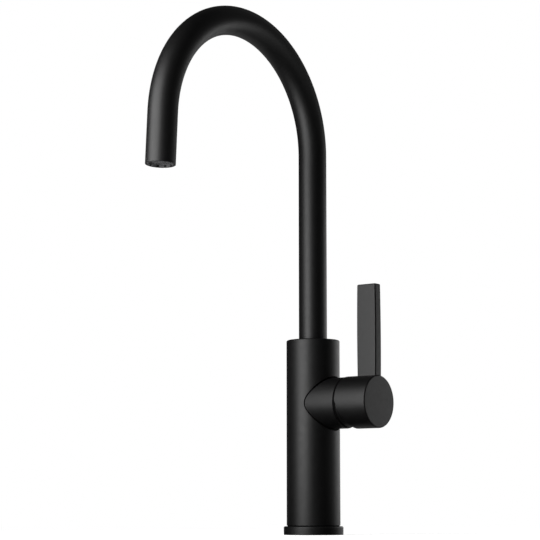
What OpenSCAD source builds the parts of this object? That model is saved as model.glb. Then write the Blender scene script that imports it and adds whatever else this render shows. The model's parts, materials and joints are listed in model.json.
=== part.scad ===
// Single-lever kitchen tap with a swivelling gooseneck spout and a side handle.
// Origin: centre of the foot, on the worktop. +Z is up, the spout reaches towards -Y,
// and the handle stands on the +X side. All sizes are in millimetres.

/* [Body] */
// Outer diameter of the upright body
body_d = 50; // [48:0.5:60]
// Height of the body's top face above the worktop
body_h = 181; // [160:1:230]
// Wall of the body tube
body_wall = 3; // [2:0.25:3.5]
// How far the foot ring stands out round the body
ring_step = 2.75; // [2:0.25:8]
// Height of the foot ring
ring_h = 7.8; // [6:0.5:14]
// Distance from the body's top face down to the handle's axis
axis_drop = 60; // [54:0.5:80]

/* [Spout] */
// Outer diameter of the spout tube
tube_d = 26.5; // [25:0.5:28]
// Wall of the spout tube
tube_wall = 1.5; // [1:0.1:2]
// Height at which the gooseneck starts to bend
bend_z = 357; // [240:1:420]
// Radius of the gooseneck, at the tube's centre
bend_r = 108; // [60:0.5:140]
// Angle that the gooseneck turns through
bend_sweep = 177; // [150:0.5:180]
// Straight length after the bend
nose_len = 46.5; // [30:0.5:90]
// Diameter of the spout's turning shank
shank_d = 21; // [18:0.5:21]
// Angle that the spout turns to each side
swivel_half = 60; // [20:5:80]

/* [Handle] */
// Diameter of the collar that carries the handle
collar_d = 47.4; // [46:0.5:48]
// How far the collar stands out from the body's side
collar_len = 14.4; // [14:0.1:20]
// Gap between the collar and the handle
handle_gap = 1.7; // [0.6:0.1:2]
// Diameter of the handle's round cap
cap_d = 48.2; // [46:0.2:50]
// Length of the handle's cap
cap_len = 34; // [32:0.1:42]
// Wall of the cap's skirt
cap_wall = 1.4; // [1.2:0.1:1.8]
// Tilt of the handle from shut to full flow
tilt_max = 20; // [12:1:20]
// Width of the lever at its middle, along the handle's axis
lever_w = 20.6; // [16:0.2:22]
// Thickness of the lever at its foot
lever_t = 9.2; // [6:0.2:10]
// Thickness of the lever at its tip
lever_tip_t = 8.6; // [5:0.2:9]
// Height of the lever's tip above the handle's axis
lever_rise = 108.5; // [60:0.5:140]
// Distance from the lever's outer edge to the cap's outer face
lever_inset = 0.6; // [0.4:0.1:4]

/* [Cartridge] */
// Diameter of the cartridge
cartridge_d = 35; // [34:0.5:35]
// Distance from the body's side in to the cartridge's seat
seat_inset = 10; // [9.4:0.1:10.6]
// Distance from the cartridge's seat to the pin that the stem tilts on
pivot_reach = 18; // [17.6:0.1:18.4]
// Side of the square stem
stem_w = 7; // [6:0.25:7]

/* [Inlets and fixing] */
// Bore of the hose inlets, tapped M10 x 1
inlet_d = 9; // [8:0.5:10]
// Depth of the hose inlets
inlet_depth = 14; // [10:1:20]
// Distance between the two hose inlets
inlet_pitch = 18; // [16:0.5:20]
// Bore of the fixing holes, tapped M8
stud_hole_d = 6.8; // [5:0.1:7]
// Depth of the fixing holes
stud_depth = 16; // [10:1:22]
// Distance between the two fixing holes
stud_pitch = 23; // [20:0.5:25]

/* [Hidden] */

$fn = 96;
cut = 1; // how far a cutting tool reaches past the face that it cuts
fit = 0.1; // radial clearance between pieces that are put together and stay still
slide_fit = 0.05; // radial clearance between pieces that turn on each other
edge = 0.7; // chamfer on the visible edges

// Colours of the finishes
matt_black = [0.11, 0.11, 0.115];
raw_brass = [0.78, 0.62, 0.32];
steel = [0.72, 0.73, 0.75];
black_rubber = [0.05, 0.05, 0.05];
white_plastic = [0.9, 0.9, 0.88];
grey_plastic = [0.45, 0.46, 0.48];
ceramic = [0.93, 0.93, 0.9];

// Body
body_r = body_d / 2;
bore_r = body_r - body_wall;
core_r = bore_r - fit;
ring_bore_r = core_r + fit;
top_wall = 3;
foot_line_h = 0.9; // height of the dark line between the foot ring and the body
foot_line_depth = 0.8;
axis_h = body_h - axis_drop;
ring_d = body_d + 2 * ring_step;
gasket_r = (ring_bore_r + ring_d / 2) / 2;
gasket_w = 2.2;
gasket_h = 1.6;
gasket_slack = 0.05;

// Waterway casting
foot_h = 20;
riser_r = 7;
block_drop = 29.5; // from the handle's axis down to the block's foot
block_z = axis_h - block_drop;
socket_drop = 32; // from the body's top down to the spout socket's foot
block_top = body_h - socket_drop;
neck_wall = 3.1;
neck_r = cartridge_d / 2 + neck_wall;
chamber_r = cartridge_d / 2 + fit;
channel_r = 3;
outlet_r = 4.2;
port_out_z = -6.5;
port_in_z = 4.5;
port_shift = 1; // how far the risers stand in from the hose inlets
port_y = inlet_pitch / 2 - port_shift;

// Collar and handle along the handle's axis
collar_r = collar_d / 2;
collar_seam = 0.4;
collar_x = body_r + collar_len;
skirt_x = collar_x + handle_gap;
cap_x = skirt_x + cap_len;

// Spout seat
tube_r = tube_d / 2;
tube_bore_r = tube_r - tube_wall;
seam_lap = 0.5; // how far the straight nose laps the bend
seam_skin = 0.04; // how much thicker its wall is there, on either face
shank_r = shank_d / 2;
shank_wall = 3.5;
shank_bore_r = shank_r - shank_wall;
socket_bore_r = shank_r + slide_fit;
thrust_drop = 10; // from the body's top down to the ring that carries the tube
thrust_z = body_h - thrust_drop;
thrust_h = 2;
tube_z = thrust_z + thrust_h + slide_fit;
shank_gap = 2; // room under the shank
shank_z = block_top + shank_gap;
shank_foot = 0.6; // chamfer at the shank's foot
plug_len = 26; // how far the shank reaches up the tube
shank_top = tube_z + plug_len;
mouth_gap = 0.25;
mouth_r = tube_r + mouth_gap;
bearing_inset = 1.2;
bearing_z = shank_z + bearing_inset;
bearing_h = 2.4;
bearing_split = 1.5;
first_ring = 5.4; // from the bearing ring up to the first O-ring
ring_pitch = 4.2;
o_ring_z = [bearing_z + first_ring, bearing_z + first_ring + ring_pitch];
groove_w = 2.7;
groove_depth = 1.9;
seal_inset = 1.2; // from the bush's bore out to its seal's groove
o_ring_r = groove_depth / 2 - 0.01;
stop_drop = 4.2;
stop_z = thrust_z - stop_drop;
stop_slot_h = 4.6;
stop_depth = 1.8;
stop_screw_d = 5;
stop_tip_d = 3.6;
stop_key = 2.5;
stop_inset = 0.8; // how far the screw's head lies in the body's side
stop_shoulder = 0.6; // from the bush's bore out to the screw's shoulder
stop_play = 0.5; // under the screw's point
stop_half = asin(stop_tip_d / 2 / (shank_r - stop_depth)) + 0.05; // half the point's width, as an angle

// Gooseneck's end: position of the outlet's centre, and its tilt from straight down
bend_c = [0, -bend_r, bend_z];
nose_tilt = bend_sweep - 180;
nose_end = bend_c
    + bend_r * [0, cos(bend_sweep), sin(bend_sweep)]
    + nose_len * [0, -sin(bend_sweep), cos(bend_sweep)];

// Aerator
aerator_wall = 1.3;
aerator_r = tube_bore_r - fit;
aerator_depth = 9;
aerator_recess = 0.4;
notch_count = 10;
notch_w = 2.2;
notch_h = 1.8;
screen_z = 1.5;
screen_h = 3.2;
screen_bar = 0.7;
screen_pitch = 3;
screen_rim = 0.9;
flow_disc_h = 1.5;
flow_hole_count = 12;
flow_hole_r = 0.9;
flow_ring_share = 0.68; // where the holes stand, as a share of the disc's radius
washer_w = 2.5;
washer_h = 1.6;

// Cartridge stack along the handle's axis, each piece on the one before
seat_x = body_r - seat_inset;
pivot_x = seat_x + pivot_reach;
seal_h = 1.5;
seal_w = 1.1;
seal_squeeze = 0.6; // how far the seals hold the cartridge off its seat
base_x = seat_x + seal_squeeze;
base_slack = 0.2;
base_t = 3;
fixed_x = base_x + base_t;
fixed_t = 3.2;
disc_film = 0.02; // between the two lapped discs
moving_x = fixed_x + fixed_t + disc_film;
port_lip = 0.2;
moving_t = 5.4;
moving_r = 10.4;
disc_pocket_w = 5.6;
disc_pocket_t = 5;
mix_depth = 0.3;
mix_lobe = [1, 6]; // the mixing pocket's wide end: place and radius
out_lobe = [-4, 4]; // and its narrow end over the outlet port
housing_x = fixed_x;
housing_r = cartridge_d / 2;
housing_wall = 2.1;
turret_gap = 0.3;
turret_x = moving_x + moving_t + turret_gap;
turret_r = housing_r - housing_wall - slide_fit * 3;
turret_t = 6.4;
turret_neck_r = 10.2;
turret_neck_len = 4;
turret_neck_x = turret_x + turret_t + turret_neck_len;
slot_room = 4.4; // beside the stem, for its tilt
housing_lid_x = turret_x + turret_t + slide_fit;
housing_lid_t = 2.4;
nut_x = housing_lid_x + housing_lid_t + slide_fit;
nut_bore_r = 12.6;
dome_gap = 0.4;
dome_wall = 1.6;
dome_flange = 1.2;
dome_mouth_r = 13;

// Screws
thread_slack = 0.1; // of a screw's diameter in its tapped hole
point_chamfer = 0.5;
head_chamfer = 0.3;

// Stem and handle
cap_end_t = 4;
stem_cant = tilt_max / 2;
pin_r = 1.5;
ball_r = 2.5;
ball_rod_r = 1.9;
ball_depth = 2.9; // from the moving disc's face to the ball's centre
ball_arm = pivot_x - (moving_x + ball_depth);
stem_tail = 3; // how far the square part reaches past the pin
stem_gap = 3; // between the stem's tip and the cap's end wall
stem_tip = cap_x - cap_end_t - pivot_x - stem_gap;
cap_r = cap_d / 2;
skirt_r = cap_r - cap_wall;
dome_r = norm([skirt_x - pivot_x, skirt_r]) - dome_gap;
hub_r = 7.6;
hub_len = 21.3;
hub_x = cap_x - hub_len;
grub_inset = 6;
grub_x = hub_x + grub_inset;
grub_d = 5;
grub_key = 2.5;
grub_sink = 1.2; // how far its head lies in the cap's side
grub_gap = 0.4; // between its point and the stem's flat
lever_x1 = cap_x - lever_inset;
lever_bow = 0.4; // how far each long edge bows out at its middle
lever_foot_w = lever_w - 2 * lever_bow;
lever_tip_w = lever_w - 2 * lever_bow;
lever_soft = 0.5; // bevel round the tip
lever_root = cap_wall + 1;
lever_top = axis_h + lever_rise;
lever_screw_d = 4;
lever_screw_len = 12;
lever_hole_len = 14;
screw_head_r = 3.4;
screw_head_h = 2.2;
screw_key = 2.5;
screw_key_depth = 1.4;
screw_slack = 0.4; // of the cap's hole round the screw

// Places its children in the handle's frame: Z runs out along the handle's axis from the
// body's axis, X points up and Y keeps the body's Y
module on_handle_axis() {
    translate([0, 0, axis_h]) rotate([0, 90, 0]) rotate([0, 0, 180]) children();
}

// Places its children on the stem, which leans by half the handle's tilt when shut.
// Z runs out along the stem from its pin
module on_stem() {
    translate([pivot_x, 0, axis_h]) rotate([0, 90 - stem_cant, 0]) rotate([0, 0, 180]) children();
}

// Places its children at the outlet, with Z running back up the tube
module at_outlet() {
    translate(nose_end) rotate([nose_tilt, 0, 0]) children();
}

// A turned ring
module ring(r_out, r_in, h) {
    difference() {
        cylinder(r = r_out, h = h);
        translate([0, 0, -cut]) cylinder(r = r_in, h = h + 2 * cut);
    }
}

// A round rubber ring, centred on z = 0
module o_ring(r_mid, r_section) {
    rotate_extrude() translate([r_mid, 0]) circle(r = r_section, $fn = 32);
}

// A turned cylinder with a chamfer at either end
module turned(r, h, low = 0, high = 0) {
    rotate_extrude() polygon([
        [0, 0], [r - low, 0], [r, low], [r, h - high], [r - high, h], [0, h]
    ]);
}

// A grub screw with a hexagon socket in its head, head at z = 0 and point towards -Z
module grub_screw(d, length, key) {
    difference() {
        translate([0, 0, -length]) turned(d / 2, length, point_chamfer, head_chamfer);
        translate([0, 0, -key * 0.8]) cylinder(d = key / cos(30), h = key + cut, $fn = 6);
    }
}

module base_ring() {
    color(matt_black) difference() {
        turned(ring_d / 2, ring_h, edge / 2, edge);
        translate([0, 0, -cut]) cylinder(r = ring_bore_r, h = ring_h + 2 * cut);
        translate([0, 0, -cut]) ring(gasket_r + gasket_w / 2, gasket_r - gasket_w / 2, gasket_h + cut);
    }
}

module base_gasket() {
    color(black_rubber) ring(gasket_r + gasket_w / 2 - gasket_slack, gasket_r - gasket_w / 2 + gasket_slack, gasket_h);
}

// The upright tube, with a mouth for the spout, a side hole for the cartridge neck
// and a tapped hole at the back for the stop screw
module body_column() {
    color(matt_black) difference() {
        union() {
            translate([0, 0, ring_h]) cylinder(r = body_r - foot_line_depth, h = foot_line_h + cut);
            translate([0, 0, ring_h + foot_line_h])
                turned(body_r, body_h - ring_h - foot_line_h, edge / 2, edge);
        }
        translate([0, 0, ring_h - cut]) cylinder(r = bore_r, h = body_h - top_wall - ring_h + cut);
        translate([0, 0, body_h - top_wall - cut]) cylinder(r = mouth_r, h = top_wall + 2 * cut);
        on_handle_axis() cylinder(r = neck_r + fit, h = body_r + cut);
        translate([0, 0, stop_z]) rotate([-90, 0, 0]) cylinder(d = stop_screw_d, h = body_r + cut);
    }
}

// The round branch that carries the handle. Its outside is cut to the body with a fine seam,
// and its neck goes through the body's side hole, round the cartridge
module side_collar() {
    color(matt_black) difference() {
        union() {
            difference() {
                on_handle_axis() translate([0, 0, bore_r / 2]) turned(collar_r, collar_x - bore_r / 2, 0, edge);
                translate([0, 0, axis_h - collar_d]) cylinder(r = body_r + collar_seam, h = 2 * collar_d);
            }
            difference() {
                on_handle_axis() cylinder(r = neck_r, h = collar_x - edge);
                translate([0, 0, axis_h - collar_d]) cylinder(r = bore_r + fit, h = 2 * collar_d);
            }
        }
        on_handle_axis() cylinder(r = chamber_r, h = collar_x + cut);
    }
}

// Brass insert that slides in from below: foot flange, two risers, and the block
// with the cartridge's seat
module valve_body() {
    color(raw_brass) difference() {
        union() {
            cylinder(r = core_r, h = foot_h);
            for (side = [-1, 1])
                translate([0, side * port_y, foot_h - cut]) cylinder(r = riser_r, h = block_z - foot_h + 2 * cut);
            translate([0, 0, block_z]) cylinder(r = core_r, h = block_top - block_z);
        }
        on_handle_axis() translate([0, 0, seat_x]) cylinder(r = chamber_r, h = collar_x);
        for (side = [-1, 1]) {
            translate([0, side * inlet_pitch / 2, -cut]) cylinder(d = inlet_d, h = inlet_depth + cut);
            translate([side * stud_pitch / 2, 0, -cut]) cylinder(d = stud_hole_d, h = stud_depth + cut);
            riser_channel(side);
        }
        outlet_channel();
    }
}

// The drilled way from one hose inlet to the cartridge's seat
module riser_channel(side) {
    translate([0, side * port_y, inlet_depth - cut])
        cylinder(r = channel_r, h = axis_h + port_in_z - inlet_depth + cut);
    translate([0, side * port_y, axis_h + port_in_z])
        rotate([0, 90, 0]) cylinder(r = channel_r, h = seat_x + cut);
}

// The drilled way from the cartridge's seat up to the spout
module outlet_channel() {
    translate([0, 0, axis_h + port_out_z]) rotate([0, 90, 0])
        cylinder(r = channel_r, h = seat_x + cut);
    translate([0, 0, axis_h + port_out_z]) cylinder(r = outlet_r, h = block_top);
}

// Brass bush in the top of the body, in which the spout turns
module spout_socket() {
    color(raw_brass) difference() {
        translate([0, 0, block_top]) cylinder(r = core_r, h = body_h - top_wall - block_top);
        translate([0, 0, block_top - cut]) cylinder(r = socket_bore_r, h = body_h);
        translate([0, 0, thrust_z]) cylinder(r = mouth_r + fit, h = body_h);
        translate([0, 0, block_top - cut])
            ring(socket_bore_r + seal_inset + groove_w, socket_bore_r + seal_inset, cut + groove_depth);
        translate([0, 0, stop_z]) rotate([-90, 0, 0]) cylinder(d = stop_screw_d, h = body_r);
    }
}

module socket_seal() {
    color(black_rubber)
        translate([0, 0, block_top + groove_depth / 2])
            o_ring(socket_bore_r + seal_inset + groove_w / 2, groove_depth / 2 - 0.02);
}

// Screw at the back, whose point runs in the shank's slot and limits the spout's turn
module spout_stop_screw() {
    head_y = body_r - stop_inset;
    point_y = socket_bore_r + stop_shoulder;
    tip_y = shank_r - stop_depth + stop_play;
    color(steel) translate([0, 0, stop_z]) rotate([-90, 0, 0]) {
        translate([0, 0, head_y]) grub_screw(stop_screw_d - thread_slack, head_y - point_y, stop_key);
        translate([0, 0, tip_y]) cylinder(d = stop_tip_d, h = point_y - tip_y + point_chamfer);
    }
}

// The three ways through the cartridge: one out and two in
module cartridge_ports(r, h) {
    translate([port_out_z, 0, 0]) cylinder(r = r, h = h);
    for (side = [-1, 1]) translate([port_in_z, side * port_y, 0]) cylinder(r = r, h = h);
}

module cartridge_seals() {
    color(black_rubber) on_handle_axis() translate([0, 0, seat_x]) difference() {
        cartridge_ports(channel_r + seal_w, seal_h);
        translate([0, 0, -cut]) cartridge_ports(channel_r, seal_h + 2 * cut);
    }
}

module cartridge_base() {
    color(grey_plastic) on_handle_axis() difference() {
        translate([0, 0, base_x]) cylinder(r = housing_r - base_slack, h = base_t);
        translate([0, 0, base_x - cut]) cartridge_ports(channel_r, base_t + 2 * cut);
        translate([0, 0, base_x - cut]) cartridge_ports(channel_r + seal_w + fit, seat_x + seal_h - base_x + cut);
    }
}

module fixed_disc() {
    color(ceramic) on_handle_axis() difference() {
        translate([0, 0, fixed_x]) cylinder(r = turret_r, h = fixed_t);
        translate([0, 0, fixed_x - cut]) cartridge_ports(channel_r - port_lip, fixed_t + 2 * cut);
    }
}

// Upper ceramic disc, with the mixing pocket in its face and the stem's pocket behind.
// It lies low by half its travel when the tap is shut, with the pocket clear of the two
// inlet ports, and opening slides it up over them
module moving_disc() {
    shift = -ball_arm * sin(stem_cant);
    color(ceramic) on_handle_axis() translate([shift, 0, moving_x]) difference() {
        cylinder(r = moving_r, h = moving_t);
        translate([0, 0, -cut]) {
            translate([mix_lobe[0], 0, 0]) cylinder(r = mix_lobe[1], h = cut + mix_depth);
            translate([out_lobe[0], 0, 0]) cylinder(r = out_lobe[1], h = cut + mix_depth);
        }
        translate([-disc_pocket_w / 2, -disc_pocket_w / 2, moving_t - disc_pocket_t])
            cube([disc_pocket_w, disc_pocket_w, moving_t]);
    }
}

module cartridge_housing() {
    color(white_plastic) on_handle_axis() difference() {
        translate([0, 0, housing_x]) turned(housing_r, housing_lid_x + housing_lid_t - housing_x, 0.3, 0.5);
        translate([0, 0, housing_x - cut]) cylinder(r = housing_r - housing_wall, h = housing_lid_x - housing_x + cut);
        cylinder(r = turret_neck_r + slide_fit, h = collar_x);
    }
}

// Turning guide that holds the stem's pin and carries the moving disc round
module stem_turret() {
    slot_l = 2 * (stem_w / 2 + slot_room);
    color(white_plastic) on_handle_axis() difference() {
        union() {
            translate([0, 0, turret_x]) cylinder(r = turret_r, h = turret_t);
            translate([0, 0, turret_x]) cylinder(r = turret_neck_r, h = turret_neck_x - turret_x);
        }
        translate([-slot_l / 2, -stem_w / 2 - fit, turret_x - cut])
            cube([slot_l, stem_w + 2 * fit, turret_neck_x]);
        translate([0, 0, pivot_x]) rotate([90, 0, 0]) cylinder(r = pin_r, h = 4 * turret_r, center = true);
    }
}

module stem_pin() {
    color(steel) translate([pivot_x, 0, axis_h]) rotate([90, 0, 0])
        cylinder(r = pin_r - 0.02, h = 2 * turret_neck_r - 2, center = true);
}

// Threaded ring that clamps the cartridge, flush with the collar's face
module cartridge_nut() {
    color(raw_brass) on_handle_axis() translate([0, 0, nut_x]) ring(chamber_r - fit, nut_bore_r, collar_x - nut_x);
}

// Black domed cover on the collar's face and the nut. It is a zone of a ball round the
// stem's pin, so the handle's skirt keeps its distance from it at every tilt
module cartridge_dome() {
    foot_r = sqrt(pow(dome_r - dome_wall, 2) - pow(collar_x + dome_flange - pivot_x, 2));
    color(matt_black) on_handle_axis() difference() {
        intersection() {
            translate([0, 0, pivot_x]) sphere(r = dome_r);
            translate([0, 0, collar_x]) cylinder(r = dome_r, h = dome_r);
        }
        intersection() {
            translate([0, 0, pivot_x]) sphere(r = dome_r - dome_wall);
            translate([0, 0, collar_x + dome_flange]) cylinder(r = foot_r + cut, h = dome_r);
        }
        cylinder(r = dome_mouth_r, h = 2 * cap_x);
    }
}

// The gooseneck: a straight riser, the bend, and the straight nose down to the outlet
module spout_tube() {
    color(matt_black) {
        translate([0, 0, tube_z]) ring(tube_r, tube_bore_r, bend_z - tube_z);
        translate(bend_c) rotate([90, 0, 90]) rotate_extrude(angle = bend_sweep)
            translate([bend_r, 0]) difference() {
                circle(r = tube_r);
                circle(r = tube_bore_r);
            }
        at_outlet() ring(tube_r + seam_skin, tube_bore_r - seam_skin, nose_len + seam_lap);
    }
}

// Brass shank in the tube's foot, with grooves for the rings and a slot for the stop screw
module spout_shank() {
    ring_grooves = [bearing_z, o_ring_z[0] - groove_w / 2, o_ring_z[1] - groove_w / 2];
    groove_h = [bearing_h, groove_w, groove_w];
    color(raw_brass) difference() {
        union() {
            translate([0, 0, shank_z]) turned(shank_r, shank_top - shank_z, shank_foot, 0);
            translate([0, 0, tube_z]) cylinder(r = tube_bore_r - slide_fit, h = shank_top - tube_z);
        }
        translate([0, 0, shank_z - cut]) cylinder(r = shank_bore_r, h = shank_top - shank_z + 2 * cut);
        for (i = [0:2]) translate([0, 0, ring_grooves[i]])
            ring(shank_r + cut, shank_r - groove_depth, groove_h[i]);
        translate([0, 0, stop_z - stop_slot_h / 2]) rotate([0, 0, 90 - swivel_half - stop_half])
            rotate_extrude(angle = 2 * (swivel_half + stop_half))
                translate([shank_r - stop_depth, 0]) square([stop_depth + cut, stop_slot_h]);
    }
}

module spout_o_rings() {
    color(black_rubber) for (z = o_ring_z)
        translate([0, 0, z]) o_ring(shank_r - o_ring_r, o_ring_r);
}

// Split plastic rings that carry the shank sideways
module spout_bearing_rings() {
    color(white_plastic) translate([0, 0, bearing_z + fit]) difference() {
        ring(shank_r, shank_r - groove_depth + fit, bearing_h - 2 * fit);
        translate([0, -bearing_split / 2, -cut]) cube([body_d, bearing_split, bearing_h + 2 * cut]);
    }
}

module spout_thrust_ring() {
    color(white_plastic) translate([0, 0, thrust_z + slide_fit])
        ring(tube_r - 2 * fit, shank_r + fit + slide_fit, thrust_h - slide_fit);
}

// Recessed aerator's shell, with notches in its rim for the key
module aerator_shell() {
    color(grey_plastic) at_outlet() translate([0, 0, aerator_recess]) difference() {
        turned(aerator_r, aerator_depth, edge / 2, edge / 2);
        translate([0, 0, -cut]) cylinder(r = aerator_r - aerator_wall, h = aerator_depth + 2 * cut);
        for (i = [0:notch_count - 1]) rotate([0, 0, (i + 0.5) * 360 / notch_count])
            translate([aerator_r - aerator_wall - cut, -notch_w / 2, -cut])
                cube([aerator_wall + 2 * cut, notch_w, notch_h + cut]);
    }
}

// Square grid that straightens the jet, in a thin rim
module aerator_screen() {
    rim_r = aerator_r - aerator_wall - slide_fit;
    rows = floor(rim_r / screen_pitch);
    color(grey_plastic) at_outlet() translate([0, 0, aerator_recess + screen_z]) {
        ring(rim_r, rim_r - screen_rim, screen_h);
        intersection() {
            cylinder(r = rim_r - screen_rim / 2, h = screen_h);
            for (turn = [0, 90]) rotate([0, 0, turn]) for (i = [-rows:rows])
                translate([-rim_r, i * screen_pitch - screen_bar / 2, 0])
                    cube([2 * rim_r, screen_bar, screen_h]);
        }
    }
}

// Perforated disc that meters the flow, above the screen
module aerator_flow_disc() {
    disc_r = aerator_r - aerator_wall - slide_fit;
    color(white_plastic) at_outlet() translate([0, 0, aerator_recess + screen_z + screen_h + fit]) difference() {
        cylinder(r = disc_r, h = flow_disc_h);
        for (i = [0:flow_hole_count - 1]) rotate([0, 0, i * 360 / flow_hole_count])
            translate([disc_r * flow_ring_share, 0, -cut]) cylinder(r = flow_hole_r, h = flow_disc_h + 2 * cut, $fn = 24);
    }
}

module aerator_seal() {
    color(black_rubber) at_outlet() translate([0, 0, aerator_recess + aerator_depth])
        ring(aerator_r - fit, aerator_r - fit - washer_w, washer_h);
}

// Square stem with a ball at its inner end, a pin hole, and a flat for the grub screw
module handle_stem() {
    color(steel) on_stem() difference() {
        union() {
            translate([-stem_w / 2, -stem_w / 2, -stem_tail]) cube([stem_w, stem_w, stem_tip + stem_tail]);
            translate([0, 0, -ball_arm]) sphere(r = ball_r, $fn = 48);
            translate([0, 0, -ball_arm]) cylinder(r = ball_rod_r, h = ball_arm);
        }
        rotate([90, 0, 0]) cylinder(r = pin_r + 0.02, h = 2 * stem_w, center = true);
    }
}

// Round cap: skirt, end wall and the hub that grips the stem.
// The skirt's underside is cut away at the angle that the handle tilts through
module handle_cap() {
    relief = tilt_max + 0.5;
    color(matt_black) difference() {
        union() {
            on_handle_axis() translate([0, 0, skirt_x]) difference() {
                turned(cap_r, cap_x - skirt_x, edge, edge);
                translate([0, 0, -cut]) cylinder(r = skirt_r, h = cap_x - skirt_x - cap_end_t + cut);
            }
            intersection() {
                on_stem() translate([0, 0, hub_x - pivot_x]) cylinder(r = hub_r, h = cap_x);
                on_handle_axis() cylinder(r = cap_r - cap_wall / 2, h = cap_x - cap_end_t / 2);
            }
        }
        on_stem() translate([-stem_w / 2 - fit, -stem_w / 2 - fit, 0])
            cube([stem_w + 2 * fit, stem_w + 2 * fit, stem_tip + stem_gap / 6]);
        translate([pivot_x, 0, axis_h]) rotate([0, -relief, 0]) translate([-2 * cap_d, -cap_d, -2 * cap_d])
            cube([2 * cap_d + (skirt_x - pivot_x), 2 * cap_d, 2 * cap_d]);
        grub_place() translate([0, 0, -cap_r]) cylinder(d = grub_d, h = 2 * cap_r);
        lever_screw_place() cylinder(d = lever_screw_d + screw_slack, h = cap_r);
    }
}

// Places its children at the grub screw's hole, at the back of the cap, with Z pointing out
module grub_place() {
    translate([grub_x, cap_r, axis_h + (grub_x - pivot_x) * tan(stem_cant)]) rotate([-90, 0, 0]) children();
}

// Places its children under the lever's fixing screw's head, where it meets the inside
// of the skirt, with Z up into the lever
module lever_screw_place() {
    seat_z = sqrt(skirt_r * skirt_r - screw_head_r * screw_head_r) - 0.02;
    translate([lever_x1 - lever_w / 2, 0, axis_h + seat_z]) children();
}

// Flat upright lever, a little wider at its middle and thinner towards its tip: its front
// outline and its side outline, each carried straight through the other. Its foot is cut
// to the cap
module handle_lever() {
    root_z = axis_h + cap_r - lever_root;
    mid_z = (root_z + lever_top) / 2;
    front = [
        [lever_x1 - lever_bow - lever_foot_w, root_z], [lever_x1 - lever_bow, root_z], [lever_x1, mid_z],
        [lever_x1 - lever_bow, lever_top - lever_soft],
        [lever_x1 - lever_bow - lever_soft, lever_top],
        [lever_x1 - lever_bow - lever_tip_w + lever_soft, lever_top],
        [lever_x1 - lever_bow - lever_tip_w, lever_top - lever_soft],
        [lever_x1 - lever_w, mid_z]
    ];
    side = [
        [-lever_t / 2, root_z], [lever_t / 2, root_z], [lever_tip_t / 2, lever_top - lever_soft],
        [lever_tip_t / 2 - lever_soft, lever_top], [lever_soft - lever_tip_t / 2, lever_top],
        [-lever_tip_t / 2, lever_top - lever_soft]
    ];
    color(matt_black) difference() {
        intersection() {
            translate([0, lever_t, 0]) rotate([90, 0, 0]) linear_extrude(2 * lever_t) polygon(front);
            rotate([90, 0, 90]) linear_extrude(2 * cap_x) polygon(side);
        }
        on_handle_axis() cylinder(r = cap_r, h = 2 * cap_x);
        lever_screw_place() cylinder(d = lever_screw_d, h = lever_hole_len);
    }
}

module lever_screw() {
    color(steel) lever_screw_place() difference() {
        union() {
            translate([0, 0, -screw_head_h]) cylinder(r = screw_head_r, h = screw_head_h);
            cylinder(d = lever_screw_d - thread_slack, h = lever_screw_len);
        }
        translate([0, 0, -screw_head_h - cut])
            cylinder(d = screw_key / cos(30), h = cut + screw_key_depth, $fn = 6);
    }
}

module handle_grub_screw() {
    length = cap_r - stem_w / 2 - grub_sink - grub_gap;
    color(steel) grub_place() translate([0, 0, -grub_sink]) grub_screw(grub_d - thread_slack, length, grub_key);
}

base_ring();
base_gasket();
body_column();
side_collar();
valve_body();
spout_socket();
socket_seal();
spout_stop_screw();
cartridge_seals();
cartridge_base();
fixed_disc();
cartridge_housing();
cartridge_nut();
cartridge_dome();
spout_tube();
spout_shank();
spout_o_rings();
spout_bearing_rings();
spout_thrust_ring();
aerator_shell();
aerator_screen();
aerator_flow_disc();
aerator_seal();
stem_turret();
stem_pin();
moving_disc();
handle_stem();
handle_cap();
handle_lever();
lever_screw();
handle_grub_screw();
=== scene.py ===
import bpy
import bmesh
import json
import math
from mathutils import Matrix, Vector


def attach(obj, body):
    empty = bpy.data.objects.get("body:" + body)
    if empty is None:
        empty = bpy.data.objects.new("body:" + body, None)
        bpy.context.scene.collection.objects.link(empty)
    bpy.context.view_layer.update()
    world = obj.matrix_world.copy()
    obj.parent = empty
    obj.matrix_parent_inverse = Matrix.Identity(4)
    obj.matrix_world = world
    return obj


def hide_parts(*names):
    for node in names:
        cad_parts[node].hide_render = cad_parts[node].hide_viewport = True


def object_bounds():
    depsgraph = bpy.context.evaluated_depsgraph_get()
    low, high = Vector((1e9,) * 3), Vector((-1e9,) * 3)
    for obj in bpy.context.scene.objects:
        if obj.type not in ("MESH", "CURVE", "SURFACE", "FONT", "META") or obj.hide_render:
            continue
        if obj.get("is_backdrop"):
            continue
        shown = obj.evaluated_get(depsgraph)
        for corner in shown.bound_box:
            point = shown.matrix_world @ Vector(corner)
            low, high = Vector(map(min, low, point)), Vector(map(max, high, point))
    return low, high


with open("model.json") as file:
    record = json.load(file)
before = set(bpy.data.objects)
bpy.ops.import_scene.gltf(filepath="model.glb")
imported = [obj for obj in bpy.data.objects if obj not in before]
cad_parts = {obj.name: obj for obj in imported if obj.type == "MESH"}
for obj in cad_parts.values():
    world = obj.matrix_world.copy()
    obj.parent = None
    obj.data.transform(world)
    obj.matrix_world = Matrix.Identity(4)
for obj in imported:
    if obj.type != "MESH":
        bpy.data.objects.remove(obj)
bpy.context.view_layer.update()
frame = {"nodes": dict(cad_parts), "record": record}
print("frame loaded:", len(frame["nodes"]), "nodes")

mm = 0.001  # shapes are drawn in millimetres, as in the part's drawing

# Sizes that several pieces share
tap = {
    "axisHeight": 121, "pivot": 33, "bodyRadius": 25, "bodyBore": 22, "bodyTop": 181,
    "ringHeight": 7.8, "branchRadius": 23.7, "collarEnd": 39.4, "skirtStart": 41.1,
    "skirtBore": 22.7, "capRadius": 24.2, "capEnd": 75.1, "tubeRadius": 13.25, "tubeBore": 11.75,
}

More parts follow.
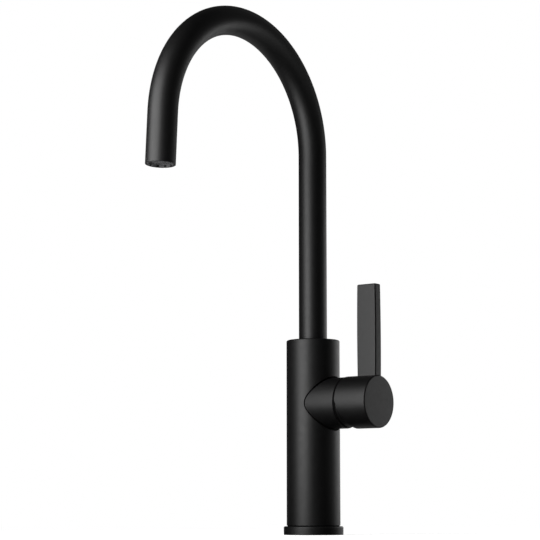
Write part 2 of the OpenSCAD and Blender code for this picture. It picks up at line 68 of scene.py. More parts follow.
# How finely round shapes are drawn: steps round each
facets = {"turn": 128, "hole": 48, "hub": 64, "neckHole": 96, "capRound": 256, "fillet": 5}
weld = 1e-7  # in metres: points closer than this become one
sharpAngle = 32  # in degrees: edges that turn more than this stay crisp
through = 30  # length of a cutter that goes right through a wall

# Turns a shape made round Z so that it runs out along the handle's axis, with its X pointing up
alongHandle = Matrix.Translation((0, 0, tap["axisHeight"])) @ Matrix(
    ((0, 0, 1, 0), (0, -1, 0, 0), (1, 0, 0, 0), (0, 0, 0, 1))
)


def towardsBack(x, z):
    # turns a shape made along Z so that it runs from the tap's middle plane to the back
    return Matrix.Translation((x, 0, z)) @ Matrix.Rotation(math.radians(-90), 4, "X")


# Shape helpers
def rounded(corners, steps=facets["fillet"]):
    # corners of a closed outline as (a, b, radius of the fillet)
    points = []
    for i, (a, b, radius) in enumerate(corners):
        corner = Vector((a, b))
        if radius <= 0:
            points.append((a, b))
            continue
        before = (Vector(corners[i - 1][:2]) - corner).normalized()
        after = (Vector(corners[(i + 1) % len(corners)][:2]) - corner).normalized()
        half = before.angle(after) / 2
        centre = corner + (before + after).normalized() * radius / math.sin(half)
        first = corner + before * radius / math.tan(half) - centre
        last = corner + after * radius / math.tan(half) - centre
        turn = first.angle(last)
        for k in range(steps + 1):
            t = k / steps
            spoke = first * math.sin((1 - t) * turn) + last * math.sin(t * turn)
            p = centre + spoke / math.sin(turn)
            points.append((p.x, p.y))
    return points


def quarterTurn(steps):
    return [math.radians(90 * i / steps) for i in range(steps + 1)]


def makeMesh(name, points, faces, place=Matrix()):
    mesh = bpy.data.meshes.new(name)
    mesh.from_pydata([(place @ Vector(p)) * mm for p in points], [], faces)
    bm = bmesh.new()
    bm.from_mesh(mesh)
    bmesh.ops.remove_doubles(bm, verts=bm.verts, dist=weld)
    loose = [e for e in bm.edges if not e.link_faces]
    bmesh.ops.delete(bm, geom=loose, context="EDGES")
    bmesh.ops.recalc_face_normals(bm, faces=bm.faces)
    bm.to_mesh(mesh)
    bm.free()
    obj = bpy.data.objects.new(name, mesh)
    bpy.context.scene.collection.objects.link(obj)
    smooth(obj)
    return obj


def smooth(obj):
    obj.data.shade_smooth()
    obj.data.set_sharp_from_angle(angle=math.radians(sharpAngle))


def loftFaces(rings, points, closeRings, closePoints):
    faces = []
    for i in range(rings if closeRings else rings - 1):
        for k in range(points if closePoints else points - 1):
            j, m = (i + 1) % rings, (k + 1) % points
            faces.append((i * points + k, i * points + m, j * points + m, j * points + k))
    return faces


def turned(name, profileAt, place=Matrix(), around=facets["turn"], angles=None):
    # profileAt gives the closed outline (radius, height) at an angle, so it may change on the way
    angles = angles or [2 * math.pi * i / around for i in range(around)]
    points = []
    for angle in angles:
        outline = profileAt(angle)
        points += [(r * math.cos(angle), r * math.sin(angle), h) for r, h in outline]
    return makeMesh(name, points, loftFaces(len(angles), len(outline), True, True), place)


def cutWith(obj, cutters, operation="DIFFERENCE"):
    for cutter in cutters:
        change = obj.modifiers.new("cut", "BOOLEAN")
        change.operation, change.solver, change.object = operation, "EXACT", cutter
        graph = bpy.context.evaluated_depsgraph_get()
        made = bpy.data.meshes.new_from_object(obj.evaluated_get(graph))
        obj.modifiers.clear()
        old, obj.data = obj.data, made
        bpy.data.meshes.remove(old)
        bpy.data.objects.remove(cutter)
    smooth(obj)


def rod(radius, low, high, place, around=facets["hole"]):
    outline = [(0, low), (radius, low), (radius, high), (0, high)]
    return turned("cutter", lambda angle: outline, place, around)


def block(low, high, place):
    points = [(x, y, z) for x in (low[0], high[0]) for y in (low[1], high[1])
              for z in (low[2], high[2])]
    faces = [(0, 1, 3, 2), (4, 6, 7, 5), (0, 4, 5, 1), (2, 3, 7, 6), (0, 2, 6, 4), (1, 5, 7, 3)]
    return makeMesh("cutter", points, faces, place)


def dress(obj, body, node, finish):
    even = obj.modifiers.new("even normals", "WEIGHTED_NORMAL")
    even.keep_sharp = True
    obj.data.materials.clear()
    obj.data.materials.append(finish)
    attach(obj, body)
    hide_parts(node)


def paintGapShade(obj, isHidden):
    # painted shade: faces down in the seams and gaps get a darker, less glossy black, standing in
    # for the shade that falls there
    obj.data.materials.append(finishes["painted_gap_shade"])
    for face in obj.data.polygons:
        if isHidden(face.center):
            face.material_index = 1  # the painted shade's slot


# Node helpers
def feed(tree, value, socket):
    # value: a link from another node, or a plain number or colour
    if isinstance(value, bpy.types.NodeSocket):
        tree.links.new(value, socket)
    else:
        socket.default_value = value


def addMath(tree, operation, a, b):
    node = tree.nodes.new("ShaderNodeMath")
    node.operation = operation
    feed(tree, a, node.inputs[0])
    feed(tree, b, node.inputs[1])
    return node.outputs[0]


def addRange(tree, value, reach, levels=(0.0, 1.0), ease="LINEAR"):
    # goes from the first level to the second while the value goes through its reach
    node = tree.nodes.new("ShaderNodeMapRange")
    node.interpolation_type = ease
    feed(tree, value, node.inputs["Value"])
    for name, number in zip(("From Min", "From Max", "To Min", "To Max"), (*reach, *levels)):
        node.inputs[name].default_value = number
    return node.outputs["Result"]


def addMix(tree, factor, a, b):
    # a where the factor is 0, b where it is 1
    node = tree.nodes.new("ShaderNodeMix")
    for name, value in (("Factor", factor), ("A", a), ("B", b)):
        feed(tree, value, node.inputs[name])
    return node.outputs["Result"]


def addShaderMix(tree, factor, a, b):
    node = tree.nodes.new("ShaderNodeMixShader")
    for socket, value in zip(node.inputs, (factor, a, b)):
        feed(tree, value, socket)
    return node.outputs[0]


def rays(tree, *kinds):
    # 1 for rays of the named kinds, 0 for all others
    path = tree.nodes.new("ShaderNodeLightPath")
    found = path.outputs[kinds[0]]
    for kind in kinds[1:]:
        found = addMath(tree, "MAXIMUM", found, path.outputs[kind])
    return found


# Finishes: colour and gloss drift over a piece, gloss in smaller patches than colour
drift = {"detail": 3.0, "glossPatch": 0.37, "noiseReach": (0.3, 0.7)}


def newFinish(name, settings, colours, patch, roughRange, bumps):
    # colours: two ends of the drift; patch: its size in metres
    # bumps: (feature size, height) in metres of each layer of relief
    mat = bpy.data.materials.new(name)
    mat.use_nodes = True
    tree = mat.node_tree
    shader = tree.nodes["Principled BSDF"]
    for socket, value in settings.items():
        shader.inputs[socket].default_value = value
    place = tree.nodes.new("ShaderNodeTexCoord")

    def noiseAt(feature):
        noise = tree.nodes.new("ShaderNodeTexNoise")
        noise.inputs["Scale"].default_value = 1 / feature
        noise.inputs["Detail"].default_value = drift["detail"]
        tree.links.new(place.outputs["Object"], noise.inputs["Vector"])
        return noise.outputs["Fac"]

    tint = tree.nodes.new("ShaderNodeMix")
    tint.data_type = "RGBA"
    tint.inputs["A"].default_value = (*colours[0], 1)
    tint.inputs["B"].default_value = (*colours[1], 1)
    tree.links.new(noiseAt(patch), tint.inputs["Factor"])
    tree.links.new(tint.outputs["Result"], shader.inputs["Base Color"])
    rough = addRange(tree, noiseAt(patch * drift["glossPatch"]), drift["noiseReach"], roughRange)
    tree.links.new(rough, shader.inputs["Roughness"])
    last = None
    for feature, height in bumps:
        bump = tree.nodes.new("ShaderNodeBump")
        bump.inputs["Strength"].default_value = 1.0
        bump.inputs["Distance"].default_value = height
        tree.links.new(noiseAt(feature), bump.inputs["Height"])
        if last:
            tree.links.new(last, bump.inputs["Normal"])
        last = bump.outputs["Normal"]
    tree.links.new(last, shader.inputs["Normal"])
    return mat


finishes = {
    # fine satin powder coat: faint orange peel, with a much finer grain on it
    "matt_black": newFinish(
        "matt black powder coat", {"Metallic": 0.0, "Specular IOR Level": 0.5},
        ((0.0010, 0.0010, 0.0011), (0.0019, 0.0018, 0.0019)), 0.012, (0.45, 0.50),
        ((0.0011, 0.0000035), (0.00022, 0.0000018)),
    ),
    # painted shade for seams and gaps: darker and less glossy than the coat, so that those faces
    # look shaded
    "painted_gap_shade": newFinish(
        "black with painted shade in the gaps", {"Metallic": 0.0, "Specular IOR Level": 0.1},
        ((0.0006, 0.0006, 0.0006), (0.0012, 0.0012, 0.0012)), 0.006, (0.7, 0.8),
        ((0.0008, 0.000004), (0.0002, 0.000002)),
    ),
    "raw_brass": newFinish(
        "machined brass", {"Metallic": 1.0},
        ((0.62, 0.42, 0.16), (0.78, 0.57, 0.27)), 0.006, (0.24, 0.38),
        ((0.0006, 0.000004), (0.00012, 0.000002)),
    ),
    "steel": newFinish(
        "zinc plated steel", {"Metallic": 1.0},
        ((0.5, 0.5, 0.52), (0.66, 0.66, 0.68)), 0.003, (0.2, 0.34),
        ((0.0005, 0.000003), (0.0001, 0.000001)),
    ),
    "black_rubber": newFinish(
        "moulded rubber", {"Metallic": 0.0, "Specular IOR Level": 0.35},
        ((0.014, 0.014, 0.014), (0.028, 0.027, 0.027)), 0.003, (0.6, 0.78),
        ((0.0008, 0.00001), (0.0002, 0.000005)),
    ),
    "white_plastic": newFinish(
        "moulded acetal", {"Metallic": 0.0, "Subsurface Weight": 0.05},
        ((0.74, 0.74, 0.7), (0.84, 0.84, 0.81)), 0.008, (0.36, 0.5),
        ((0.0009, 0.000006), (0.0002, 0.000002)),
    ),
    "grey_plastic": newFinish(
        "moulded nylon", {"Metallic": 0.0},
        ((0.3, 0.31, 0.33), (0.4, 0.41, 0.43)), 0.006, (0.4, 0.55),
        ((0.0008, 0.000006), (0.0002, 0.000002)),
    ),
    "dark_plastic": newFinish(
        "dark moulded plastic", {"Metallic": 0.0},
        ((0.055, 0.055, 0.057), (0.1, 0.1, 0.103)), 0.004, (0.3, 0.42),
        ((0.0007, 0.000006), (0.00015, 0.000002)),
    ),
    "ceramic": newFinish(
        "lapped alumina", {"Metallic": 0.0},
        ((0.8, 0.79, 0.75), (0.88, 0.87, 0.84)), 0.004, (0.08, 0.16),
        ((0.0004, 0.000001), (0.0001, 0.0000004)),
    ),
}
slotOf = {row["node"]: row["material_slot"] for row in frame["record"]["subparts"]}
for node, obj in frame["nodes"].items():
    for holder in obj if isinstance(obj, (list, tuple)) else [obj]:
        for i in range(max(1, len(holder.material_slots))):
            if not holder.material_slots:
                holder.data.materials.append(None)
            holder.material_slots[i].material = finishes[slotOf[node]]
black = finishes["matt_black"]
print("finishes made:", len(finishes))

# Foot ring, with the gasket's groove underneath
footRing = {
    "radius": 27.75, "topEdge": 1.3, "footEdge": 0.25, "groove": (23.775, 25.975),
    "grooveDepth": 1.6,
}
grooveInside, grooveOutside = footRing["groove"]
ringOutline = rounded([
    (tap["bodyBore"], 0, 0), (grooveInside, 0, 0), (grooveInside, footRing["grooveDepth"], 0),
    (grooveOutside, footRing["grooveDepth"], 0), (grooveOutside, 0, 0),
    (footRing["radius"], 0, footRing["footEdge"]),
    (footRing["radius"], tap["ringHeight"], footRing["topEdge"]),
    (tap["bodyBore"], tap["ringHeight"], 0),
])
dress(turned("foot_ring", lambda angle: ringOutline), "body", "base_ring", black)

# Upright body: recessed by a fine line at its foot, and open at the top for the spout
body = {
    "edge": 1.4, "footEdge": 0.25, "footBoreEdge": 0.1, "roofEdge": 0.3, "footLine": 0.7,
    "footLineDepth": 0.8, "mouth": 13.5, "mouthEdge": 0.3, "topWall": 3, "neckHole": 20.7,
    "screwHole": 2.5, "screwHeight": 166.8, "paintedShadeUnder": 24.9, "paintedShadeTop": 175,
}
lineRadius = tap["bodyRadius"] - body["footLineDepth"]
lineTop = tap["ringHeight"] + body["footLine"]
roof = tap["bodyTop"] - body["topWall"]
bodyOutline = rounded([
    (tap["bodyBore"], tap["ringHeight"], body["footBoreEdge"]), (lineRadius, tap["ringHeight"], 0),
    (lineRadius, lineTop, 0), (tap["bodyRadius"], lineTop, body["footEdge"]),
    (tap["bodyRadius"], tap["bodyTop"], body["edge"]),
    (body["mouth"], tap["bodyTop"], body["mouthEdge"]), (body["mouth"], roof, 0),
    (tap["bodyBore"], roof, body["roofEdge"]),
])
column = turned("body_tube", lambda angle: bodyOutline)

# Seam where the branch meets the body, widest over and under the branch
seam = {"width": (1.0, 1.6), "depth": 1.8, "overlap": 0.02, "above": 1, "steps": 240}


def branchSeam():
    # a closed band round the branch's outline, square to the body's surface
    outline = []
    for i in range(seam["steps"]):
        angle = 2 * math.pi * i / seam["steps"]
        around = math.asin(tap["branchRadius"] * math.sin(angle) / tap["bodyRadius"])
        outline.append(Vector((around * tap["bodyRadius"], tap["branchRadius"] * math.cos(angle))))
    least, most = seam["width"]
    deep, high = tap["bodyRadius"] - seam["depth"], tap["bodyRadius"] + seam["above"]
    points = []
    for i, here in enumerate(outline):
        along = (outline[(i + 1) % seam["steps"]] - outline[i - 1]).normalized()
        outward = Vector((-along.y, along.x))
        if outward.dot(here) < 0:
            outward = -outward
        width = least + (most - least) * abs(math.cos(2 * math.pi * i / seam["steps"]))
        inner, outer = here - outward * seam["overlap"], here + outward * width
        for (s, z), radius in ((inner, deep), (outer, deep), (outer, high), (inner, high)):
            turn = s / tap["bodyRadius"]
            points.append((radius * math.cos(turn), radius * math.sin(turn), tap["axisHeight"] + z))
    return makeMesh("cutter", points, loftFaces(seam["steps"], 4, True, True))


cutWith(column, [
    rod(body["neckHole"], 0, through, alongHandle, facets["neckHole"]),
    rod(body["screwHole"], 0, through, towardsBack(0, body["screwHeight"])),
    branchSeam(),
])
dress(column, "body", "body_column", black)
# painted shade: faces inside the body's surface (the foot line, the branch's seam, the holes) get
# the darker gap black
paintGapShade(column, lambda at: (math.hypot(at.x, at.y) < body["paintedShadeUnder"] * mm
                              and at.z < body["paintedShadeTop"] * mm))

# Branch that carries the handle: its outside follows the body, and its neck goes inside
collar = {
    "neck": 20.6, "bore": 17.6, "gap": 0.05, "slack": 0.1, "edge": 0.9, "boreEdge": 0.2,
    "seamEdge": 0.06,
}


def collarOutline(angle):
    def reach(radius, bodyRadius):
        return math.sqrt(bodyRadius ** 2 - (radius * math.sin(angle)) ** 2)
    outside, inside = tap["bodyRadius"] + collar["gap"], tap["bodyBore"] + collar["slack"]
    bore, neck, outer = collar["bore"], collar["neck"], tap["branchRadius"]
    middle = (outer + neck) / 2
    return rounded([
        (bore, reach(bore, inside), 0), (neck, reach(neck, inside), 0),
        (neck, reach(neck, outside), 0), (middle, reach(middle, outside), 0),
        (outer, reach(outer, outside), collar["seamEdge"]),
        (outer, tap["collarEnd"], collar["edge"]), (bore, tap["collarEnd"], collar["boreEdge"]),
    ])


branch = turned("side_branch", collarOutline, alongHandle)
dress(branch, "body", "side_collar", black)

# Domed cover in the handle's gap, a zone of a ball round the stem's pin
dome = {
    "radius": 23.705, "wall": 1.6, "flange": 1.2, "mouth": 13, "paintedShadeEnd": 41.3, "paintedShadeSteps": 3,
    "steps": 20,
}


def zone(radius, lowest, highest, steps):
    # arc of a ball round the pin, between two places along the handle's axis
    first, last = [math.asin((h - tap["pivot"]) / radius) for h in (lowest, highest)]
    turns = [first + (last - first) * i / steps for i in range(steps + 1)]
    return [(radius * math.cos(t), tap["pivot"] + radius * math.sin(t)) for t in turns]


def mouthAt(radius):
    # where a ball round the pin comes to the cover's mouth
    return tap["pivot"] + math.sqrt(radius ** 2 - dome["mouth"] ** 2)


domeBore = dome["radius"] - dome["wall"]
domeFloor = tap["collarEnd"] + dome["flange"]
# the outline breaks where the painted shade of the gap ends, so that its faces stop there
domeOutline = [
    (dome["mouth"], tap["collarEnd"]),
    *zone(dome["radius"], tap["collarEnd"], dome["paintedShadeEnd"], dome["paintedShadeSteps"]),
    *zone(dome["radius"], dome["paintedShadeEnd"], mouthAt(dome["radius"]), dome["steps"])[1:],
    *zone(domeBore, mouthAt(domeBore), domeFloor, dome["steps"]),
    (dome["mouth"], domeFloor),
]
cover = turned("domed_cover", lambda angle: domeOutline, alongHandle)
dress(cover, "body", "cartridge_dome", black)
# painted shade: the cover's band down in the handle's gap, next to the collar's end, gets the
# darker gap black
paintGapShade(cover, lambda at: at.x < dome["paintedShadeEnd"] * mm)
print("body pieces made")

# Round cap of the handle, cut away underneath at the angle that it tilts through
cap = {
    "tilt": 20, "spare": 0.5, "rimEdge": 0.5, "rimBoreEdge": 0.15, "endEdge": 1.3, "endWall": 4,
    "floorEdge": 0.4, "hub": 7.6, "hubStart": 53.8, "hubInset": 2.4, "slot": 3.6, "slotDepth": 35.6,
    "grub": 2.5, "grubPlace": 59.8, "leverHole": 2.2, "leverHoleDepth": 5,
}
relief = math.radians(cap["tilt"] + cap["spare"])
cant = math.radians(cap["tilt"] / 2)


def rimAt(height):
    # where the skirt starts along the handle's axis, at a height over that axis
    slanted = (tap["pivot"] + (tap["skirtStart"] - tap["pivot"]) / math.cos(relief)
               - math.tan(relief) * height)
    return max(tap["skirtStart"], slanted)


def capOutline(angle):
    floorAt = tap["capEnd"] - cap["endWall"]
    return rounded([
        (tap["skirtBore"], rimAt(tap["skirtBore"] * math.cos(angle)), cap["rimBoreEdge"]),
        (tap["capRadius"], rimAt(tap["capRadius"] * math.cos(angle)), cap["rimEdge"]),
        (tap["capRadius"], tap["capEnd"], cap["endEdge"]), (0, tap["capEnd"], 0),
        (0, floorAt, 0), (tap["skirtBore"], floorAt, cap["floorEdge"]),
    ])


# Z out along the stem from its pin, X up
alongStem = (Matrix.Translation((tap["pivot"], 0, tap["axisHeight"]))
             @ Matrix.Rotation(math.radians(90) - cant, 4, "Y") @ Matrix.Rotation(math.pi, 4, "Z"))

leverSize = {
    "outer": 74.8, "width": 21.2, "bow": 0.4, "footThick": 9.8, "tipThick": 9.2, "root": 142.7,
    "top": 229.5, "corner": 1.3, "tipCorner": 0.05, "tipEdge": 1.2, "tipSteps": 6, "levels": 26,
    "seatGap": 0.02, "seatReach": (40, 90), "screwHole": 2.0, "screwDepth": 14, "screwRise": 22.42,
}
leverScrewPlace = Matrix.Translation((
    leverSize["outer"] - leverSize["width"] / 2, 0, tap["axisHeight"] + leverSize["screwRise"],
))
hubEnd = tap["capEnd"] - tap["pivot"] - cap["hubInset"]
grubHeight = tap["axisHeight"] + (cap["grubPlace"] - tap["pivot"]) * math.tan(cant)
handleCap = turned("handle_round", capOutline, alongHandle)
hub = rod(cap["hub"], cap["hubStart"] - tap["pivot"], hubEnd, alongStem, facets["hub"])
cutWith(handleCap, [hub], "UNION")
cutWith(handleCap, [
    block((-cap["slot"], -cap["slot"], 0), (cap["slot"], cap["slot"], cap["slotDepth"]), alongStem),
    rod(cap["grub"], 0, through, towardsBack(cap["grubPlace"], grubHeight)),
    rod(cap["leverHole"], 0, cap["leverHoleDepth"], leverScrewPlace),
])
dress(handleCap, "handle", "handle_cap", black)


# Upright lever: a flat bar with softly rounded edges, widest at its middle, its foot cut to the cap
def leverRing(height, inset, corner):
    along = (height - leverSize["root"]) / (leverSize["top"] - leverSize["root"])
    bow = leverSize["bow"] * (2 * along - 1) ** 2
    high = leverSize["outer"] - bow - inset
    low = leverSize["outer"] - leverSize["width"] + bow + inset
    thick = leverSize["footThick"] + (leverSize["tipThick"] - leverSize["footThick"]) * along
    half = thick / 2 - inset
    corners = ((low, -half), (high, -half), (high, half), (low, half))
    return [(x, y, height) for x, y in rounded([(*at, corner) for at in corners])]


rings = []
soft = leverSize["tipEdge"]
shoulder = leverSize["top"] - soft
for i in range(leverSize["levels"] + 1):
    height = leverSize["root"] + (shoulder - leverSize["root"]) * i / leverSize["levels"]
    rings.append(leverRing(height, 0, leverSize["corner"]))
for turn in quarterTurn(leverSize["tipSteps"])[1:]:
    inset = soft * (1 - math.cos(turn))
    corner = max(leverSize["tipCorner"], leverSize["corner"] - inset)
    rings.append(leverRing(shoulder + soft * math.sin(turn), inset, corner))
count = len(rings[0])
faces = loftFaces(len(rings), count, False, True)
faces += [tuple(range(count)), tuple((len(rings) - 1) * count + k for k in range(count))]
lever = makeMesh("lever_bar", [p for ring in rings for p in ring], faces)
cutWith(lever, [
    rod(tap["capRadius"] + leverSize["seatGap"], *leverSize["seatReach"], alongHandle,
        facets["capRound"]),
    rod(leverSize["screwHole"], 0, leverSize["screwDepth"], leverScrewPlace),
])
dress(lever, "handle", "handle_lever", black)
print("handle pieces made")

# Gooseneck spout: riser, bend and straight nose in one tube, its lips rounded
spout = {
    "foot": 173.05, "bendStart": 357, "bendRadius": 108, "sweep": 177, "nose": 46.5, "lip": 0.35,
    "lipSteps": 5, "riserSteps": 6, "bendSteps": 100, "around": 96,
}
bendLength = spout["bendRadius"] * math.radians(spout["sweep"])
endLength = spout["bendStart"] + bendLength + spout["nose"]


def stationAt(length):
    # centre and in-plane direction of the tube at a length along its path, which starts at z = 0
    turn = min(max(length - spout["bendStart"], 0), bendLength) / spout["bendRadius"]
    past = max(length - spout["bendStart"] - bendLength, 0)
    y = -spout["bendRadius"] * (1 - math.cos(turn)) - past * math.sin(turn)
    z = (min(length, spout["bendStart"]) + spout["bendRadius"] * math.sin(turn)
         + past * math.cos(turn))
    return Vector((0, y, z)), Vector((0, math.cos(turn), math.sin(turn)))


def tubeRing(length, radius):
    centre, up = stationAt(length)
    turns = [2 * math.pi * k / spout["around"] for k in range(spout["around"])]
    right = Vector((1, 0, 0))
    return [centre + right * radius * math.cos(t) + up * radius * math.sin(t) for t in turns]


def lipRings(end, inwards, radius, intoWall):
    # a rounded lip from the wall's face to its side; inwards and intoWall are 1 or -1
    return [tubeRing(end + inwards * spout["lip"] * (1 - math.sin(t)),
                     radius + intoWall * spout["lip"] * (1 - math.cos(t)))
            for t in reversed(quarterTurn(spout["lipSteps"]))]


riser = spout["bendStart"] - spout["foot"]
stations = [spout["foot"] + riser * i / spout["riserSteps"] for i in range(spout["riserSteps"])]
stations += [spout["bendStart"] + bendLength * i / spout["bendSteps"]
             for i in range(spout["bendSteps"] + 1)]
stations.append(endLength - spout["nose"] / 2)
rings = [
    *lipRings(spout["foot"], 1, tap["tubeRadius"], -1),
    *[tubeRing(length, tap["tubeRadius"]) for length in stations[1:]],
    *reversed(lipRings(endLength, -1, tap["tubeRadius"], -1)),
    *lipRings(endLength, -1, tap["tubeBore"], 1),
    *[tubeRing(length, tap["tubeBore"]) for length in reversed(stations)],
]
tube = makeMesh("gooseneck", [tuple(p) for ring in rings for p in ring],
                loftFaces(len(rings), spout["around"], True, True))
dress(tube, "spout", "spout_tube", black)

# Aerator: recessed shell with a notched rim for its key, and a honeycomb screen
aerator = {
    "radius": 11.65, "bore": 10.35, "depth": 9, "recess": 0.4, "rimEdge": 0.3, "boreEdge": 0.2,
    "filletSteps": 3, "notches": 10, "notchWidth": 2.7, "notchDepth": 1.8, "notchSteps": 4,
    "notchLean": 0.001, "toothSteps": 5,
}
dark = finishes["dark_plastic"]
outlet = stationAt(endLength)[0]
atOutlet = Matrix.Translation(outlet) @ Matrix.Rotation(math.radians(spout["sweep"] - 180), 4, "X")
halfPitch = math.pi / aerator["notches"]
halfNotch = aerator["notchWidth"] / 2 / aerator["radius"]
notchFloor = halfNotch - aerator["notchLean"]  # a little less, so that the flanks are faces
toothStep = (halfPitch - halfNotch) / aerator["toothSteps"]
isNotch = {}  # angle round the rim: whether the rim is cut back there
for i in range(aerator["notches"]):
    middle = 2 * math.pi * i / aerator["notches"]
    for k in range(aerator["toothSteps"] + 1):
        isNotch[middle - halfPitch + toothStep * k] = False
    for k in range(aerator["notchSteps"] + 1):
        isNotch[middle + (2 * k / aerator["notchSteps"] - 1) * notchFloor] = True
    for k in range(aerator["toothSteps"]):
        isNotch[middle + halfNotch + toothStep * k] = False


def shellOutline(angle):
    low = aerator["recess"] + (aerator["notchDepth"] if isNotch[angle] else 0)
    high = aerator["recess"] + aerator["depth"]
    return rounded([
        (aerator["bore"], low, aerator["boreEdge"]), (aerator["radius"], low, aerator["rimEdge"]),
        (aerator["radius"], high, aerator["boreEdge"]), (aerator["bore"], high, 0),
    ], aerator["filletSteps"])


shell = turned("aerator_ring", shellOutline, atOutlet, angles=list(isNotch))
dress(shell, "spout", "aerator_shell", dark)

# Its screen: open six-sided cells inside a rim; cells that would cross the rim are left out
screen = {
    "start": 1.5, "depth": 3.2, "slack": 0.05, "rim": 0.7, "rimSteps": 72, "overlap": 0.5,
    "cell": 2.5, "cellWall": 0.32, "cellReach": 0.86, "cellTurn": 30,
}
points, faces = [], []


def addPipe(x, y, outer, inner, sides, turn, bottom, top):
    start = len(points)
    turns = [turn + 2 * math.pi * k / sides for k in range(sides)]
    for radius, z in ((outer, bottom), (outer, top), (inner, top), (inner, bottom)):
        points.extend((x + radius * math.cos(t), y + radius * math.sin(t), z) for t in turns)
    faces.extend(tuple(start + v for v in face) for face in loftFaces(4, sides, True, True))


low = aerator["recess"] + screen["start"]
high = low + screen["depth"]
screenRadius = aerator["bore"] - screen["slack"]
cellRadius = screen["cell"] / math.sqrt(3)
farthest = screenRadius - screen["rim"] * screen["overlap"] - cellRadius * screen["cellReach"]
rows = int(screenRadius / screen["cell"]) + 2  # more than fit: those outside are passed over
for i in range(-rows, rows + 1):
    for k in range(-rows, rows + 1):
        x, y = screen["cell"] * (i + k / 2), screen["cell"] * math.sqrt(3) / 2 * k
        if math.hypot(x, y) < farthest:
            addPipe(x, y, cellRadius, cellRadius - screen["cellWall"], 6,
                    math.radians(screen["cellTurn"]), low + screen["slack"], high - screen["slack"])
addPipe(0, 0, screenRadius, screenRadius - screen["rim"], screen["rimSteps"], 0, low, high)
honeycomb = makeMesh("aerator_honeycomb", points, faces, atOutlet)
dress(honeycomb, "spout", "aerator_screen", dark)
print("spout pieces made")

# Floor: pale sheet, white where the camera and reflections see it, with the tap's own soft shadow
# near the foot; glossy surfaces see a studio floor that is dark in front and brighter behind
floorLook = {
    "size": 12.0, "drop": 0.0002, "colour": (0.82, 0.82, 0.82, 1), "roughness": 0.8,
    "specular": 0.1, "glow": 0.78, "shadowReach": (0.22, 0.6), "behind": (0.0, 0.14),
    "mirrored": (0.02, 0.3),
}
bpy.ops.mesh.primitive_plane_add(size=floorLook["size"], location=(0, 0, -floorLook["drop"]))
floor = bpy.context.object
floor.name = "floor"
floor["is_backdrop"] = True
paleFloor = bpy.data.materials.new("pale floor")
paleFloor.use_nodes = True
tree = paleFloor.node_tree
sheet = tree.nodes["Principled BSDF"]
sheet.inputs["Base Color"].default_value = floorLook["colour"]
sheet.inputs["Roughness"].default_value = floorLook["roughness"]
sheet.inputs["Specular IOR Level"].default_value = floorLook["specular"]
sheet.inputs["Emission Color"].default_value = (1, 1, 1, 1)
seen = rays(tree, "Is Camera Ray", "Is Glossy Ray", "Is Transmission Ray")
feed(tree, addMath(tree, "MULTIPLY", seen, floorLook["glow"]), sheet.inputs["Emission Strength"])
place = tree.nodes.new("ShaderNodeTexCoord")
length = tree.nodes.new("ShaderNodeVectorMath")
length.operation = "LENGTH"
feed(tree, place.outputs["Object"], length.inputs[0])
far = addRange(tree, length.outputs["Value"], floorLook["shadowReach"], ease="SMOOTHSTEP")
white = tree.nodes.new("ShaderNodeEmission")
pale = addShaderMix(tree, addMath(tree, "MULTIPLY", seen, far), sheet.outputs[0], white.outputs[0])
split = tree.nodes.new("ShaderNodeSeparateXYZ")
feed(tree, place.outputs["Object"], split.inputs[0])
mirrored = tree.nodes.new("ShaderNodeEmission")
feed(tree, addRange(tree, split.outputs["Y"], floorLook["behind"], floorLook["mirrored"],
                    ease="SMOOTHSTEP"), mirrored.inputs["Strength"])
studioFloor = addShaderMix(tree, rays(tree, "Is Glossy Ray"), pale, mirrored.outputs[0])
feed(tree, studioFloor, tree.nodes["Material Output"].inputs["Surface"])
floor.data.materials.append(paleFloor)

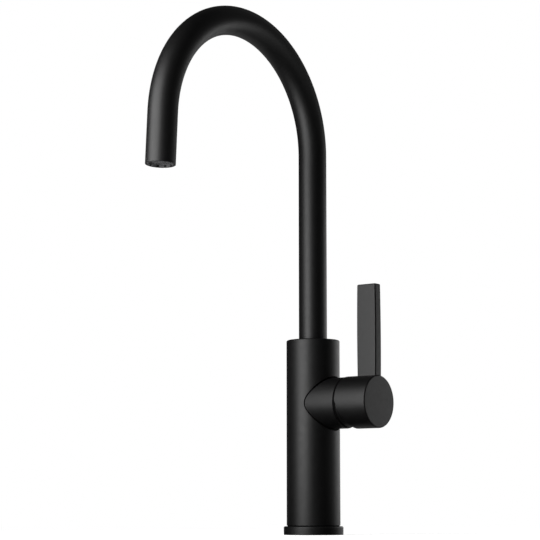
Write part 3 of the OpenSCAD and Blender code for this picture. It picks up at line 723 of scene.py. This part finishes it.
# World: white where the camera looks, and a dim studio for everything else
studio = {
    "seen": 1.0, "fill": 0.12, "front": 0.008, "behind": 0.1, "high": 0.2, "turn": (0.35, 0.95),
    "rise": (0.15, 0.6),
}
world = bpy.data.worlds.new("studio")
bpy.context.scene.world = world
world.use_nodes = True
tree = world.node_tree
place = tree.nodes.new("ShaderNodeTexCoord")
split = tree.nodes.new("ShaderNodeSeparateXYZ")
feed(tree, place.outputs["Generated"], split.inputs[0])
wall = addRange(tree, split.outputs["Z"], studio["rise"], (studio["behind"], studio["high"]))
depth = addRange(tree, split.outputs["Y"], studio["turn"])
room = addMix(tree, depth, studio["front"], wall)
level = addMix(tree, rays(tree, "Is Glossy Ray", "Is Transmission Ray"), studio["fill"], room)
background = tree.nodes["Background"]
feed(tree, addMix(tree, rays(tree, "Is Camera Ray"), level, studio["seen"]),
     background.inputs["Strength"])
background.inputs["Color"].default_value = (1, 1, 1, 1)

# Lamps: a tall softbox to the left of the camera, and a low white panel behind the tap
softbox = {
    "place": (-0.07, -0.445, 0.317), "aim": (0, 0, 0.317), "width": 0.34, "height": 0.61,
    "power": 3.0,
}
panel = {
    "place": (0.156, 0.886, 0.24), "aim": (0, 0, 0.24), "width": 0.92, "height": 0.46,
    "power": 1.95,
}


def addLamp(name, lamp):
    light = bpy.data.lights.new(name, "AREA")
    light.shape = "RECTANGLE"
    light.size, light.size_y, light.energy = lamp["width"], lamp["height"], lamp["power"]
    holder = bpy.data.objects.new(name, light)
    holder.location = lamp["place"]
    towards = Vector(lamp["aim"]) - Vector(lamp["place"])
    holder.rotation_euler = towards.to_track_quat("-Z", "Y").to_euler()
    holder.visible_camera = False
    bpy.context.scene.collection.objects.link(holder)


addLamp("softbox", softbox)
addLamp("panel", panel)

# Camera, fitted to the photograph's outline
view = {
    "lens": 117.622, "sensor": 36, "azimuth": 38.007, "pitch": 7.67, "distance": 1.6571,
    "side": -0.04054, "height": 0.025,
}
turn = math.radians(view["azimuth"])
right = Vector((math.cos(turn), math.sin(turn), 0))
back = Vector((math.sin(turn), -math.cos(turn), 0))
cameraData = bpy.data.cameras.new("camera")
cameraData.lens, cameraData.sensor_width = view["lens"], view["sensor"]
camera = bpy.data.objects.new("camera", cameraData)
camera.location = back * view["distance"] + right * view["side"] + Vector((0, 0, view["height"]))
camera.rotation_euler = (math.radians(90 + view["pitch"]), 0, turn)
bpy.context.scene.collection.objects.link(camera)
bpy.context.scene.camera = camera
bpy.context.scene.view_settings.view_transform = "Standard"
print("stage, lamps and camera made")

low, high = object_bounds()
